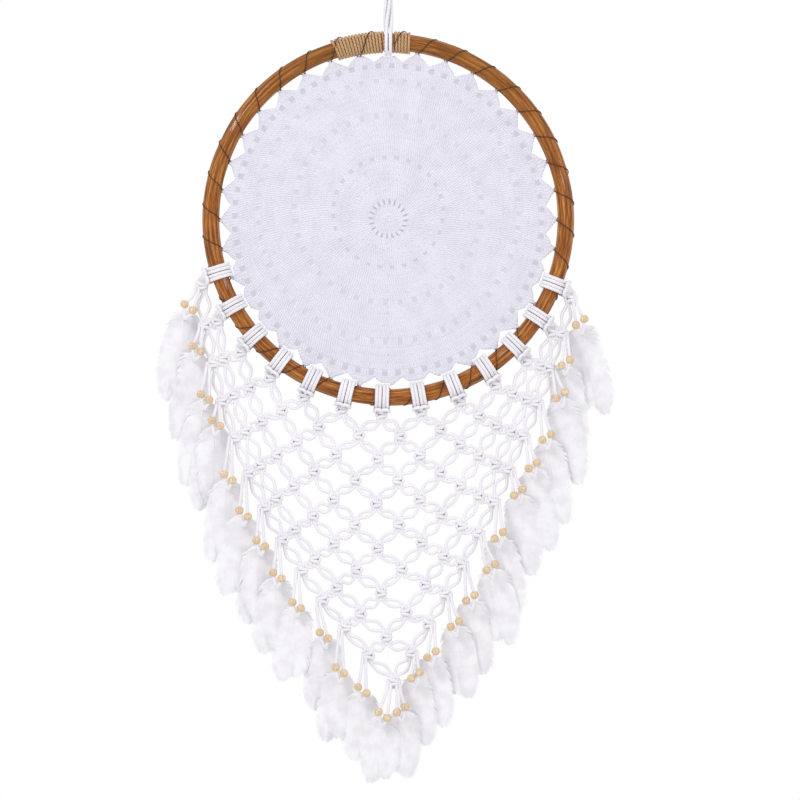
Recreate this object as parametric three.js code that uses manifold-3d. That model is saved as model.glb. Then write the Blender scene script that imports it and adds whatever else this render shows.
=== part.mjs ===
// A wall-hung dream catcher: a rattan hoop laced with a crocheted doily, and below it a knotted
// cotton net whose cord ends carry wooden beads and feathers.
// Millimetres, +Z up, +X to the right, the front faces -Y. The origin is the nail that the
// hanging loop rests on.
import * as THREE from "three";
import { mergeVertices } from "three/addons/utils/BufferGeometryUtils.js";
import Module from "manifold-3d";

const wasm = await Module();
wasm.setup();

// ---- Driving dimensions -------------------------------------------------------------------
const fit = 0.4; // clearance between pieces that touch
const cordDiameter = 3.5; // the cotton macrame cord

const nailToHoopTop = 90;
const hoopDiameter = 350; // outside of the rattan ring
const rattanDiameter = 15.5;

const eyeWidth = 18; // across the inside of the hanging eye
const eyeHeight = 40; // down the inside of the hanging eye
const loopKnotDiameter = 17;
const loopKnotHeight = 16;
const ropeDiameter = 10.5; // four cords gathered
const sideSwingRoom = 1.2; // lets the rope tip under its knot

const juteThickness = 2.4;
const juteUnderHitch = 0.8; // thickness of the wrap where the hanger crosses it
const juteLeftLength = 46; // along the hoop, left of the hanger
const juteRightLength = 16; // along the hoop, right of the hanger
const underlap = 1; // of the thin wrap into the thick one on each side

const scallops = 36; // points of the doily, one lashing turn at each
const scallopDepth = 9;
const doilyThickness = 1.6;
const threadDiameter = 1.2; // the lashing thread

const hitches = 13; // cord hitches on the hoop, and so also rows of knots
const firstHitchAngle = -72.7; // from straight down, minus is left
const lastHitchAngle = 68.7;
const hitchWidth = 4 * cordDiameter + 1;
const outerKnotSag = 9; // how far the outermost first-row knots hang below their hitches
const netHeight = 252; // from the middle first-row knot down to the last knot
const netTipOffset = 5; // the last knot hangs this far right of the centre
const leftEdgeBow = 22; // how far each slanting edge of the net bows downwards
const rightEdgeBow = 11;
const leftEdgeCurve = 1.6; // 1 is a straight edge, more keeps the net wide for longer
const rightEdgeCurve = 1.2;
const knotWidth = 11;
const knotHeight = 10;
const netThickness = 5;

const beadDiameter = 8;
const beadStep = 5.6; // the inner bead of a pair hangs this much lower
const tieLength = 8.2; // from the middle of the beads to the binding
const tieWidth = 2.6; // the binding that reaches back to the feathers
const rootHeight = 5; // the part of a pair that comes forward out of its knot
const pairOffset = 4.4; // a free pair leaves its knot this far to the outside of the middle
const featherTiltBack = 8; // degrees, so that each bunch lies behind the drops below it
const featherSplayTop = 14; // degrees outwards, at the first row
const featherSplayBottom = 9; // and at the last
const featherLengthTop = 84;
const featherLengthBottom = 62;
const featherBunchWidth = 34;
const featherThickness = 1.2;
const rightBunchesBack = 2.2; // the right bunches start this far behind the left ones

// The free cord pairs at the net's edges, from the first row down: where the middle of each
// pair's beads hangs from its knot, outwards and down.
const leftDrops = [
  [12, 20], [8, 22], [7, 31], [6, 20], [6, 36], [5, 37], [4, 33],
  [5, 33], [5, 32], [-1, 33], [5, 39], [6, 32], [10, 30],
];
const rightDrops = [
  [9, 22], [4, 27], [10, 25], [9, 32], [9, 27], [9, 21], [5, 31],
  [12, 31], [8, 31], [9, 27], [3, 28], [4, 20], [7, 25],
];

// ---- Values worked out from them ----------------------------------------------------------
const rattanRadius = rattanDiameter / 2;
const hoopRadius = hoopDiameter / 2 - rattanRadius; // to the middle of the rattan
const hoopZ = -(nailToHoopTop + hoopDiameter / 2);
const hoopTopZ = hoopZ + hoopRadius; // the middle of the rattan at the top

const hoopSteps = 60;
const hoopSides = 10;
const turnSteps = 8; // steps in one turn of the lashing

const grooveWidth = 2 * cordDiameter + 1; // where the hanger's two cords cross the hoop
const halfGroove = grooveWidth / 2 + fit;
const juteRadius = rattanRadius + fit + juteThickness;
const grooveRadius = rattanRadius + fit + juteUnderHitch;

const clearOf = (radius, sides) => (radius + fit) / Math.cos(Math.PI / sides);
const threadRadius = threadDiameter / 2;
const threadOnRattan = clearOf(rattanRadius + threadRadius, turnSteps);
const threadOnJute = clearOf(juteRadius + threadRadius, turnSteps);
const doilyRadius = hoopRadius - threadOnRattan - threadRadius - fit;

const ringSides = 10;
const sleeveSides = 12;
const hitchInside = clearOf(threadOnRattan + threadRadius, ringSides);
const hitchOutside = hitchInside + cordDiameter;
const hangerInside = clearOf(grooveRadius, ringSides);
const hangerOutside = hangerInside + cordDiameter;

const eyeCord = 2 * cordDiameter * 0.85; // the eye is two cords side by side
const eyeBottomZ = -eyeHeight - eyeCord / 2;
const loopKnotBottomZ = eyeBottomZ - loopKnotHeight + eyeCord / 4;
const ropeTopZ = loopKnotBottomZ - sideSwingRoom;
const ropeBottomZ = hoopTopZ + hangerOutside + fit;

const netBack = netThickness / 2;
const dropPlaneY = -(netBack + fit + 0.2 + beadDiameter / 2);
const featherFrontY = netBack + 4 * fit;

// ---- Helpers ------------------------------------------------------------------------------
const radians = THREE.MathUtils.degToRad;
const lerp = THREE.MathUtils.lerp;
const up = new THREE.Vector3(0, 0, 1);

/** A closed geometry as a manifold solid. */
function solid(geometry) {
  const plain = new THREE.BufferGeometry();
  plain.setAttribute("position", geometry.getAttribute("position"));
  if (geometry.index) plain.setIndex(geometry.index);
  const merged = mergeVertices(plain, 1e-4);
  return new wasm.Manifold(new wasm.Mesh({
    numProp: 3,
    vertProperties: new Float32Array(merged.getAttribute("position").array),
    triVerts: new Uint32Array(merged.index.array),
  }));
}

/** A manifold solid as a geometry again. */
function geometryOf(shape) {
  const mesh = shape.getMesh();
  const geometry = new THREE.BufferGeometry();
  geometry.setAttribute("position", new THREE.BufferAttribute(mesh.vertProperties, 3));
  geometry.setIndex(new THREE.BufferAttribute(mesh.triVerts, 1));
  geometry.computeVertexNormals();
  return geometry;
}

const join = (shapes) => shapes.reduce((all, shape) => all.add(shape));

/** The point of the hoop's plane at an angle from straight down and a distance from its centre. */
function onHoop(angle, radius = hoopRadius) {
  const a = radians(angle);
  return new THREE.Vector3(radius * Math.sin(a), 0, hoopZ - radius * Math.cos(a));
}

/** A bar of rectangular section between two points; its width lies in the plane of the net. */
function bar(from, to, width, depth) {
  const along = new THREE.Vector3().subVectors(to, from);
  const geometry = new THREE.BoxGeometry(width, depth, along.length());
  const turn = new THREE.Quaternion().setFromUnitVectors(up, along.clone().normalize());
  const middle = new THREE.Vector3().addVectors(from, to).multiplyScalar(0.5);
  return geometry.applyMatrix4(
    new THREE.Matrix4().compose(middle, turn, new THREE.Vector3(1, 1, 1)),
  );
}

/** A ring around the rattan, its axis along the hoop at that angle. */
function ringOnHoop(angle, inside, outside, width) {
  const profile = [
    [inside, -width / 2],
    [outside, -width / 2],
    [outside, width / 2],
    [inside, width / 2],
    [inside, -width / 2],
  ].map(([r, h]) => new THREE.Vector2(r, h));
  const ring = new THREE.LatheGeometry(profile, ringSides);
  ring.rotateZ(Math.PI / 2); // its axis along X, as the hoop runs at its lowest point
  ring.rotateY(-radians(angle));
  const place = onHoop(angle);
  return ring.translate(place.x, place.y, place.z);
}

/** A regular polygon as a shape. */
function polygon(radius, sides) {
  const points = Array.from({ length: sides }, (_, i) => {
    const a = (2 * Math.PI * i) / sides;
    return new THREE.Vector2(radius * Math.cos(a), radius * Math.sin(a));
  });
  return new THREE.Shape(points);
}

/** A full ring of round section in the hoop's plane. */
function torus(sectionRadius) {
  const ring = new THREE.TorusGeometry(hoopRadius, sectionRadius, hoopSides, hoopSteps);
  return ring.rotateX(Math.PI / 2).translate(0, 0, hoopZ);
}

class HoopArc extends THREE.Curve {
  /** Along the middle of the rattan from one angle to another. */
  constructor(from, to) {
    super();
    this.from = from;
    this.to = to;
  }

  getPoint(t, target = new THREE.Vector3()) {
    return target.copy(onHoop(lerp(this.from, this.to, t)));
  }
}

/** A tube around the rattan between two angles. */
function sleeve(radius, from, to) {
  const steps = Math.max(2, Math.ceil(Math.abs(to - from) / 5));
  return new THREE.ExtrudeGeometry(polygon(radius, sleeveSides), {
    steps,
    bevelEnabled: false,
    extrudePath: new HoopArc(from, to),
  });
}

// ---- Materials ----------------------------------------------------------------------------
const finish = (color, roughness) =>
  new THREE.MeshStandardMaterial({ color, roughness, metalness: 0 });
const materials = {
  rattan: () => finish("#8f5a24", 0.3),
  jute: () => finish("#b98f5e", 0.9),
  thread: () => finish("#3a241a", 0.6),
  crochet: () => finish("#eeedf2", 0.85),
  cotton: () => finish("#f1f0ee", 0.9),
  beads: () => finish("#dcb684", 0.5),
  feather: () => finish("#f7f6f4", 0.8),
};

// ---- The hanging loop, rope and hanger ----------------------------------------------------

/** The eye that goes over the nail, with the knot that closes it. */
function hangingLoop() {
  const halfWidth = (eyeWidth + eyeCord) / 2;
  const halfHeight = (eyeHeight + eyeCord) / 2;
  const eye = new THREE.TorusGeometry(halfWidth, eyeCord / 2, 8, 20);
  const position = eye.getAttribute("position");
  for (let i = 0; i < position.count; i += 1) {
    const y = position.getY(i);
    const share = y / Math.hypot(position.getX(i), y);
    position.setY(i, y + share * (halfHeight - halfWidth));
  }
  eye.rotateX(Math.PI / 2).translate(0, 0, eyeCord / 2 - halfHeight);
  const waist = loopKnotDiameter / 2;
  const knot = new THREE.LatheGeometry(
    [
      [0, 0],
      [waist * 0.7, 0],
      [waist, loopKnotHeight * 0.3],
      [waist, loopKnotHeight * 0.7],
      [waist * 0.6, loopKnotHeight],
      [0, loopKnotHeight],
    ].map(([r, h]) => new THREE.Vector2(r, h)),
    12,
  );
  knot.rotateX(Math.PI / 2).translate(0, 0, loopKnotBottomZ);
  return join([solid(eye), solid(knot)]);
}

/** The gathered cords between the loop's knot and the hanger. */
function hangingRope() {
  const length = ropeTopZ - ropeBottomZ;
  const rope = new THREE.CylinderGeometry(ropeDiameter / 2, ropeDiameter / 2, length, 12);
  return rope.rotateX(Math.PI / 2).translate(0, 0, ropeBottomZ + length / 2);
}

// ---- The hoop and what is wound on it -----------------------------------------------------

/** Arc lengths along the top of the hoop, right of its middle, as an angle from straight down. */
const angleAtTop = (arc) => 180 - (arc / hoopRadius) * (180 / Math.PI);

/** Twine wound over the joint of the hoop, thinner where the hanger crosses it. */
function juteWrap() {
  const left = [-halfGroove, -halfGroove - juteLeftLength].map(angleAtTop);
  const right = [halfGroove + juteRightLength, halfGroove].map(angleAtTop);
  const under = [halfGroove + underlap, -halfGroove - underlap].map(angleAtTop);
  const twine = join([
    solid(sleeve(juteRadius, ...left)),
    solid(sleeve(juteRadius, ...right)),
    solid(sleeve(grooveRadius, ...under)),
  ]);
  return twine.subtract(solid(torus(rattanRadius + fit)));
}

class Lashing extends THREE.Curve {
  /** A helix round the rattan, one turn to a scallop, wider where it goes over the twine. */
  constructor() {
    super();
    const pitch = 360 / scallops;
    const room = halfGroove + threadRadius + fit;
    this.from = angleAtTop(-room) - 360;
    this.to = angleAtTop(room);
    this.pitch = pitch;
    const step = (pitch / turnSteps) * 1.2;
    this.endOfLeftTwine = angleAtTop(-halfGroove - juteLeftLength) - 360 + step;
    this.endOfRightTwine = angleAtTop(halfGroove + juteRightLength) - step;
  }

  getPoint(t, target = new THREE.Vector3()) {
    const angle = lerp(this.from, this.to, t);
    const onTwine = angle < this.endOfLeftTwine || angle > this.endOfRightTwine;
    const radius = onTwine ? threadOnJute : threadOnRattan;
    const turn = (2 * Math.PI * angle) / this.pitch;
    const middle = onHoop(angle, hoopRadius - radius * Math.cos(turn));
    return target.set(middle.x, radius * Math.sin(turn), middle.z);
  }
}

function lashingThread() {
  const path = new Lashing();
  const steps = Math.round(((path.to - path.from) / path.pitch) * turnSteps);
  const straight = Array.from({ length: steps + 1 }, (_, i) => path.getPoint(i / steps));
  return tubeAlong(straight, threadRadius, 4);
}

/** A tube with a corner at each point: a ring of corners at each, joined by flat faces. */
function tubeAlong(points, radius, sides) {
  const positions = [];
  const index = [];
  const normal = new THREE.Vector3();
  points.forEach((point, i) => {
    const before = points[Math.max(i - 1, 0)];
    const after = points[Math.min(i + 1, points.length - 1)];
    const along = new THREE.Vector3().subVectors(after, before).normalize();
    if (i === 0) normal.set(0, 1, 0);
    normal.addScaledVector(along, -normal.dot(along)).normalize();
    const across = new THREE.Vector3().crossVectors(along, normal);
    for (let k = 0; k < sides; k += 1) {
      const a = (2 * Math.PI * k) / sides;
      const corner = point.clone()
        .addScaledVector(normal, radius * Math.cos(a))
        .addScaledVector(across, radius * Math.sin(a));
      positions.push(...corner.toArray());
    }
    if (i === 0) return;
    for (let k = 0; k < sides; k += 1) {
      const a = (i - 1) * sides + k;
      const b = (i - 1) * sides + ((k + 1) % sides);
      index.push(a, b, b + sides, a, b + sides, a + sides);
    }
  });
  const last = (points.length - 1) * sides;
  for (let k = 1; k < sides - 1; k += 1) {
    index.push(0, k + 1, k, last, last + k, last + k + 1);
  }
  const geometry = new THREE.BufferGeometry();
  geometry.setAttribute("position", new THREE.Float32BufferAttribute(positions, 3));
  geometry.setIndex(index);
  return geometry;
}

/** The crocheted disc with pointed scallops, cut back where hitches or the twine pass it. */
function crochetDoily() {
  const outline = Array.from({ length: 2 * scallops }, (_, i) => {
    const a = (Math.PI * i) / scallops;
    const r = i % 2 ? doilyRadius - scallopDepth : doilyRadius;
    return new THREE.Vector2(r * Math.sin(a), -r * Math.cos(a));
  });
  const disc = new THREE.ExtrudeGeometry(new THREE.Shape(outline), {
    depth: doilyThickness,
    bevelEnabled: false,
  });
  disc.translate(0, 0, -doilyThickness / 2).rotateX(Math.PI / 2).translate(0, 0, hoopZ);
  const notches = hitchAngles().map((angle) =>
    solid(ringOnHoop(angle, 0.8 * rattanRadius, hitchOutside + fit, hitchWidth + 2 * fit)),
  );
  const leftEnd = angleAtTop(-halfGroove - juteLeftLength - threadDiameter);
  const rightEnd = angleAtTop(halfGroove + juteRightLength + threadDiameter);
  const pastTop = Math.max(threadOnJute + threadRadius, clearOf(hangerOutside, sleeveSides));
  notches.push(solid(sleeve(pastTop + fit, rightEnd, leftEnd)));
  return notches.reduce((rest, notch) => rest.subtract(notch), solid(disc));
}

// ---- The net ------------------------------------------------------------------------------

const hitchAngles = () =>
  Array.from({ length: hitches }, (_, i) =>
    lerp(firstHitchAngle, lastHitchAngle, i / (hitches - 1)),
  );

/** A first-row knot: close outside the hitch above it, lower down towards the sides. */
function firstRow(share) {
  const angle = lerp(firstHitchAngle, lastHitchAngle, share);
  const clear = hitchInside + 0.5 + knotHeight / 2;
  const knot = onHoop(angle, hoopRadius + clear);
  knot.z -= outerKnotSag * Math.sin(radians(angle)) ** 2;
  return knot;
}

/** Knot number i of a row; each row down has one knot fewer, and the last row has one. */
function knotAt(row, i) {
  const t = row / (hitches - 1);
  const knots = hitches - row;
  const share = knots > 1 ? i / (knots - 1) : 0.5;
  const left = firstRow(0);
  const right = firstRow(1);
  const middle = firstRow(0.5);
  const tip = new THREE.Vector3(netTipOffset, 0, middle.z - netHeight);
  const bow = Math.sin(Math.PI * t);
  const edgeX = lerp(
    lerp(left.x, tip.x, t ** leftEdgeCurve),
    lerp(right.x, tip.x, t ** rightEdgeCurve),
    share,
  );
  const edgeZ = lerp(
    lerp(left.z, tip.z, t) - leftEdgeBow * bow,
    lerp(right.z, tip.z, t) - rightEdgeBow * bow,
    share,
  );
  const arch = firstRow(share).sub(new THREE.Vector3().lerpVectors(left, right, share));
  const fullArch = (left.z + right.z) / 2 - middle.z;
  const flatten = 1 - t - ((leftEdgeBow + rightEdgeBow) / 2 / fullArch) * bow;
  return new THREE.Vector3(edgeX + arch.x * flatten, 0, edgeZ + arch.z * flatten);
}

/** Hitches over the hoop, rows of square knots below them, and the cord pairs between knots. */
function macrameNet() {
  const pieces = hitchAngles().map((angle) =>
    solid(ringOnHoop(angle, hitchInside, hitchOutside, hitchWidth)),
  );
  for (let row = 0; row < hitches; row += 1) {
    for (let i = 0; i < hitches - row; i += 1) {
      const knot = knotAt(row, i);
      const block = new THREE.BoxGeometry(knotWidth, netThickness, knotHeight);
      pieces.push(solid(block.translate(knot.x, knot.y, knot.z)));
      if (row === 0) continue;
      pieces.push(solid(bar(knotAt(row - 1, i), knot, 2 * cordDiameter, netThickness)));
      pieces.push(solid(bar(knotAt(row - 1, i + 1), knot, 2 * cordDiameter, netThickness)));
    }
  }
  return join(pieces);
}

// ---- The drops along the net's edges ------------------------------------------------------

const tapered = (radius, height) =>
  [
    [0, -height],
    [radius * 0.6, -height],
    [radius, 0],
    [radius * 0.6, height],
    [0, height],
  ].map(([r, h]) => new THREE.Vector2(r, h));

/** A drop's places: where its cords leave the knot, its beads, its tie and its feathers' depth. */
function dropPlaces(side, row, [out, down]) {
  const knot = knotAt(row, side < 0 ? 0 : hitches - 1 - row);
  const exit = new THREE.Vector3(
    knot.x + side * pairOffset,
    dropPlaneY,
    knot.z - 0.3 * knotHeight,
  );
  const beads = new THREE.Vector3(knot.x + side * out, dropPlaneY, knot.z - down);
  const along = new THREE.Vector3().subVectors(beads, exit).normalize();
  const tie = beads.clone().addScaledVector(along, tieLength);
  const featherY = featherFrontY + (side > 0 ? rightBunchesBack : 0);
  return { exit, beads, tie, featherY };
}

/** Two cord ends in front of the net, a bead on each, and the binding that the feathers hang from. */
function beadDrop(side, row, drop) {
  const { exit, beads, tie, featherY } = dropPlaces(side, row, drop);
  const root = exit.clone().setY(-netBack - fit);
  const rootFront = exit.clone().setY(dropPlaneY - cordDiameter / 2);
  const tieBack = tie.clone().setY(featherY - fit);
  const lower = new THREE.Vector3(0, 0, -rootHeight / 2);
  const along = new THREE.Vector3().subVectors(tie, exit).normalize();
  const end = tie.clone().addScaledVector(along, tieWidth / 2);
  const pieces = [
    solid(bar(root.add(lower), rootFront.add(lower), 2 * cordDiameter, rootHeight)),
    solid(bar(exit, end, 2 * cordDiameter, cordDiameter)),
    solid(bar(tie, tieBack, tieWidth, tieWidth)),
  ];
  for (const inner of [-1, 1]) {
    const bead = new THREE.LatheGeometry(tapered(beadDiameter / 2, beadDiameter * 0.42), 6);
    bead.rotateX(Math.PI / 2);
    bead.translate(
      beads.x - inner * side * (beadDiameter / 2 - 0.1),
      beads.y,
      beads.z - (inner * beadStep) / 2,
    );
    pieces.push(solid(bead));
  }
  return join(pieces);
}

/** A flat leaf as wide as two feathers side by side, hung from the binding, tilted and splayed. */
function featherBunch(side, row, drop) {
  const { tie, featherY } = dropPlaces(side, row, drop);
  const t = row / (hitches - 1);
  const length = lerp(featherLengthTop, featherLengthBottom, t);
  const halfWidths = [
    [0, 0.14],
    [0.12, 0.34],
    [0.32, 0.86],
    [0.58, 1],
    [0.82, 0.78],
    [0.96, 0.36],
  ];
  const edge = halfWidths.map(([s, w]) => [(w * featherBunchWidth) / 2, -s * length]);
  const outline = [
    ...edge.map(([x, y]) => new THREE.Vector2(x, y)),
    new THREE.Vector2(0, -length),
    ...edge.reverse().map(([x, y]) => new THREE.Vector2(-x, y)),
  ];
  const leaf = new THREE.ExtrudeGeometry(new THREE.Shape(outline), {
    depth: featherThickness,
    bevelEnabled: false,
  });
  leaf.rotateX(Math.PI / 2).translate(0, featherThickness, 0);
  leaf.rotateX(radians(featherTiltBack));
  leaf.rotateY(-side * radians(lerp(featherSplayTop, featherSplayBottom, t)));
  return leaf.translate(tie.x, featherY, tie.z + tieWidth);
}

// ---- The assembly -------------------------------------------------------------------------
const dreamCatcher = new THREE.Group();

function place(name, shape, material) {
  const geometry = shape.isBufferGeometry ? shape : geometryOf(shape);
  const mesh = new THREE.Mesh(geometry, material());
  mesh.name = name;
  dreamCatcher.add(mesh);
}

place("hanging_loop", hangingLoop(), materials.cotton);
place("hanging_rope", hangingRope(), materials.cotton);
place(
  "hanger_hitch",
  ringOnHoop(180, hangerInside, hangerOutside, grooveWidth),
  materials.cotton,
);
place("rattan_hoop", torus(rattanRadius), materials.rattan);
place("jute_wrap", juteWrap(), materials.jute);
place("lashing_thread", lashingThread(), materials.thread);
place("crochet_doily", crochetDoily(), materials.crochet);
place("macrame_net", macrameNet(), materials.cotton);
for (const [letter, side, drops] of [["L", -1, leftDrops], ["R", 1, rightDrops]]) {
  drops.forEach((drop, row) => {
    const number = String(row + 1).padStart(2, "0");
    place(`bead_drop_${letter}${number}`, beadDrop(side, row, drop), materials.beads);
    place(`feathers_${letter}${number}`, featherBunch(side, row, drop), materials.feather);
  });
}

export default dreamCatcher;
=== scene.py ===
"""A wall-hung dream catcher, dressed over its packed CAD frame.

A varnished rattan hoop is laced with a crocheted cotton doily. Below it hangs a net of square
knots, and every pair of cord ends at the net's edge carries two wooden beads and two feathers.
Metres, +Z up, the front faces -Y, and the origin is the nail that the hanging eye rests on.
"""

import math

import bmesh
import bpy
import numpy as np
from bpy.props import FloatProperty, FloatVectorProperty, IntProperty, PointerProperty
from mathutils import Matrix, Vector


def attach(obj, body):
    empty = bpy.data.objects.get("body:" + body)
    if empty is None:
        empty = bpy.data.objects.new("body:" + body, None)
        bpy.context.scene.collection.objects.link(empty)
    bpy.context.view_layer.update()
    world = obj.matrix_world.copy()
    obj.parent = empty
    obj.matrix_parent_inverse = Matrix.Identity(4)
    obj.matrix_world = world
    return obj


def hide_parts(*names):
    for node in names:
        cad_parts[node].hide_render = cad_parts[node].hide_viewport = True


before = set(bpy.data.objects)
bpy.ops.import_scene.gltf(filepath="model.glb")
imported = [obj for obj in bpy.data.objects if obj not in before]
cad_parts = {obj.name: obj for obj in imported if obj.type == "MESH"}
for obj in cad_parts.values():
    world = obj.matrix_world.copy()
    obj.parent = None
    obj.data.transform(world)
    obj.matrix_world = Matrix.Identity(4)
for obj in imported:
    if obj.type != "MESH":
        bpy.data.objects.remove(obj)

bl_info = {
    "name": "Dream Catcher",
    "version": (1, 0, 0),
    "blender": (4, 5, 0),
    "location": "View3D > Sidebar > Dream Catcher",
    "description": "Builds a dream catcher with a doily, a knotted net, beads and feathers",
    "category": "Object",
}

MM = 0.001
FRONT = np.array([0, -1.0, 0])
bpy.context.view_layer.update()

# ---- Where things are, in millimetres, as the CAD parts have them -------------------------
HOOP_RADIUS = 167.25  # to the middle of the rattan
HOOP_Z = -265.0
HOOP_TOP_Z = HOOP_Z + HOOP_RADIUS
HOOP_CENTRE = np.array([0, 0, HOOP_Z])
RATTAN_RADIUS = 7.75
TWINE_OUTSIDE = 10.55  # of the twine wrap, from the middle of the rattan
TWINE_LEFT, TWINE_RIGHT = 46.0, 16.0  # lengths wrapped left and right of the hanger
HALF_GROOVE = 4.4  # half of the gap in the wrap where the hanger crosses
TWINE_START, TWINE_END = -TWINE_LEFT - HALF_GROOVE, TWINE_RIGHT + HALF_GROOVE
SCALLOPS = 36
DOILY_RADIUS = 156.78
SCALLOP_DEPTH = 9.0
HITCHES = 13
HITCH_ANGLES = np.linspace(-72.7, 68.7, HITCHES)
FIRST_ROW_OUT = 16.51  # from the middle of the rattan to a first-row knot
FIRST_ROW_DROOP = 9.0  # of a first-row knot at the hoop's side, less towards its foot
NET_HEIGHT, NET_TIP_X = 252.0, 5.0  # from the first row's middle knot to the tip
LEFT_SAG, RIGHT_SAG, MIDDLE_SAG = 22.0, 11.0, 16.5  # of the rows halfway down
EYE_Z, EYE_HALF_WIDTH, EYE_HALF_HEIGHT = -17.1, 11.9, 22.4
WRAP_RADIUS, WRAP_TURNS, WRAP_TOP_Z, WRAP_FOOT_Z = 6.4, 4.2, -43.2, -55.6  # the eye's knot
ROPE_TOP_Z, ROPE_FOOT_Z = -56.6, -88.0
HANGER_RADIUS = 11.45  # of its cords' middles, round the rattan
DOILY_GAP_RADIUS = 153.6  # the doily's edge at the hitches and at the hanger
DROP_PLANE_Y = -7.1
FEATHER_PLANE_Y, RIGHT_FEATHERS_BEHIND = 4.1, 2.2
FEATHER_LENGTHS = 94, 70  # at the top row and at the tip
FEATHER_SPLAYS = 10, 4  # degrees away from the net, at the top row and at the tip
FEATHER_FAN = 6.5  # degrees between each feather of a drop and their middle
CORDS_APART = 1.55  # each of a drop's two cords, from their middle
BEADS_APART = 3.9, 2.8  # each of a drop's two beads, from their middle: across and down
# How far outwards and down from its knot each drop's beads hang, from the top row to the tip
LEFT_DROPS = [
    (12, 20), (8, 22), (7, 31), (6, 20), (6, 36), (5, 37), (4, 33),
    (5, 33), (5, 32), (-1, 33), (5, 39), (6, 32), (10, 30),
]
RIGHT_DROPS = [
    (9, 22), (4, 27), (10, 25), (9, 32), (9, 27), (9, 21), (5, 31),
    (12, 31), (8, 31), (9, 27), (3, 28), (4, 20), (7, 25),
]


def lerp(a, b, t):
    return a + (b - a) * t


def on_hoop(angle, radius=HOOP_RADIUS):
    """The point of the hoop's plane at an angle from straight down, in degrees."""
    a = np.radians(angle)
    return np.stack(
        [radius * np.sin(a), np.zeros_like(a * radius), HOOP_Z - radius * np.cos(a)], -1
    )


def along_hoop(degrees):
    """Length along the hoop from its top to an angle from straight down, rightwards positive."""
    return np.where(degrees > 0, 180 - degrees, -180 - degrees) * np.pi / 180 * HOOP_RADIUS


def at_twine(arc, margin):
    return (arc > TWINE_START - margin) & (arc < TWINE_END + margin)


def first_row(share):
    """A knot of the first row: outside its hitch, and lower down towards the sides."""
    angle = lerp(HITCH_ANGLES[0], HITCH_ANGLES[-1], share)
    knot = on_hoop(angle, HOOP_RADIUS + FIRST_ROW_OUT)
    knot[2] -= FIRST_ROW_DROOP * math.sin(math.radians(angle)) ** 2
    return knot


def knot_at(row, i):
    """Knot i of a row. The rows narrow from the first row's arch to one knot at the tip."""
    t = row / (HITCHES - 1)
    share = i / (HITCHES - 1 - row) if row < HITCHES - 1 else 0.5
    left, right, middle = first_row(0.0), first_row(1.0), first_row(0.5)
    tip = np.array([NET_TIP_X, 0.0, middle[2] - NET_HEIGHT])
    bow = math.sin(math.pi * t)
    x = lerp(lerp(left[0], tip[0], t**1.6), lerp(right[0], tip[0], t**1.2), share)
    left_z = lerp(left[2], tip[2], t) - LEFT_SAG * bow
    right_z = lerp(right[2], tip[2], t) - RIGHT_SAG * bow
    z = lerp(left_z, right_z, share)
    arch = first_row(share) - lerp(left, right, share)
    flatten = 1 - t - MIDDLE_SAG / ((left[2] + right[2]) / 2 - middle[2]) * bow
    return np.array([x + arch[0] * flatten, 0.0, z + arch[2] * flatten])


def drop_places(side, row):
    """Where a drop's cords leave their knot, its beads, its binding and its feathers' depth."""
    out, down = (LEFT_DROPS if side < 0 else RIGHT_DROPS)[row]
    knot = knot_at(row, 0 if side < 0 else HITCHES - 1 - row)
    start = np.array([knot[0] + side * 4.4, DROP_PLANE_Y, knot[2] - 3.0])
    beads = np.array([knot[0] + side * out, DROP_PLANE_Y, knot[2] - down])
    along = (beads - start) / np.linalg.norm(beads - start)
    feather_y = FEATHER_PLANE_Y + (RIGHT_FEATHERS_BEHIND if side > 0 else 0.0)
    return knot, start, beads, beads + 8.2 * along, feather_y


# ---- Surfaces -----------------------------------------------------------------------------
def unit(v):
    return v / np.maximum(np.linalg.norm(v, axis=-1, keepdims=True), 1e-12)


def dot(a, b):
    return np.sum(a * b, axis=-1, keepdims=True)


def frames_along(path):
    """Tangents, normals and binormals along paths (..., n, 3), turning with them without spin.

    Each point first gets a normal from the axis least along its tangent. The angle by which the
    frame before it misses this normal, once carried over, is summed along the path and undone."""
    tangent = unit(np.gradient(path, axis=-2))
    axis = np.eye(3)[np.argmin(np.abs(tangent), axis=-1)]
    normal = unit(axis - dot(axis, tangent) * tangent)
    binormal = np.cross(tangent, normal)
    before, t, n, b = normal[..., :-1, :], *(f[..., 1:, :] for f in (tangent, normal, binormal))
    carried = before - dot(before, t) * t
    miss = np.arctan2(dot(carried, b), dot(carried, n))
    angle = np.concatenate([np.zeros_like(miss[..., :1, :]), np.cumsum(miss, axis=-2)], axis=-2)
    level = circle(angle, normal, binormal)
    return tangent, level, np.cross(tangent, level)


def lengths_along(path):
    """Distance from the start to each point of paths (..., n, 3)."""
    steps = np.linalg.norm(np.diff(path, axis=-2), axis=-1)
    return np.concatenate([np.zeros_like(steps[..., :1]), np.cumsum(steps, axis=-1)], axis=-1)


def smooth(points, step):
    """A Catmull-Rom curve through points (n, 3), resampled to even steps. Between two points it is
    the cubic whose ends have half the chord of their neighbours as tangents."""
    points = np.asarray(points, float)
    padded = np.vstack([2 * points[0] - points[1], points, 2 * points[-1] - points[-2]])
    t = np.linspace(0, 1, 13)[:-1, None, None]
    a, b, c, d = padded[:-3], padded[1:-2], padded[2:-1], padded[3:]
    curve = 0.5 * (
        2 * b + (c - a) * t + (2 * a - 5 * b + 4 * c - d) * t**2 + (3 * b - a - 3 * c + d) * t**3
    )
    curve = np.vstack([curve.transpose(1, 0, 2).reshape(-1, 3), points[-1]])
    s = lengths_along(curve)
    even = np.linspace(0, s[-1], max(4, int(round(s[-1] / step)) + 1))
    return np.column_stack([np.interp(even, s, curve[:, k]) for k in range(3)])


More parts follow.
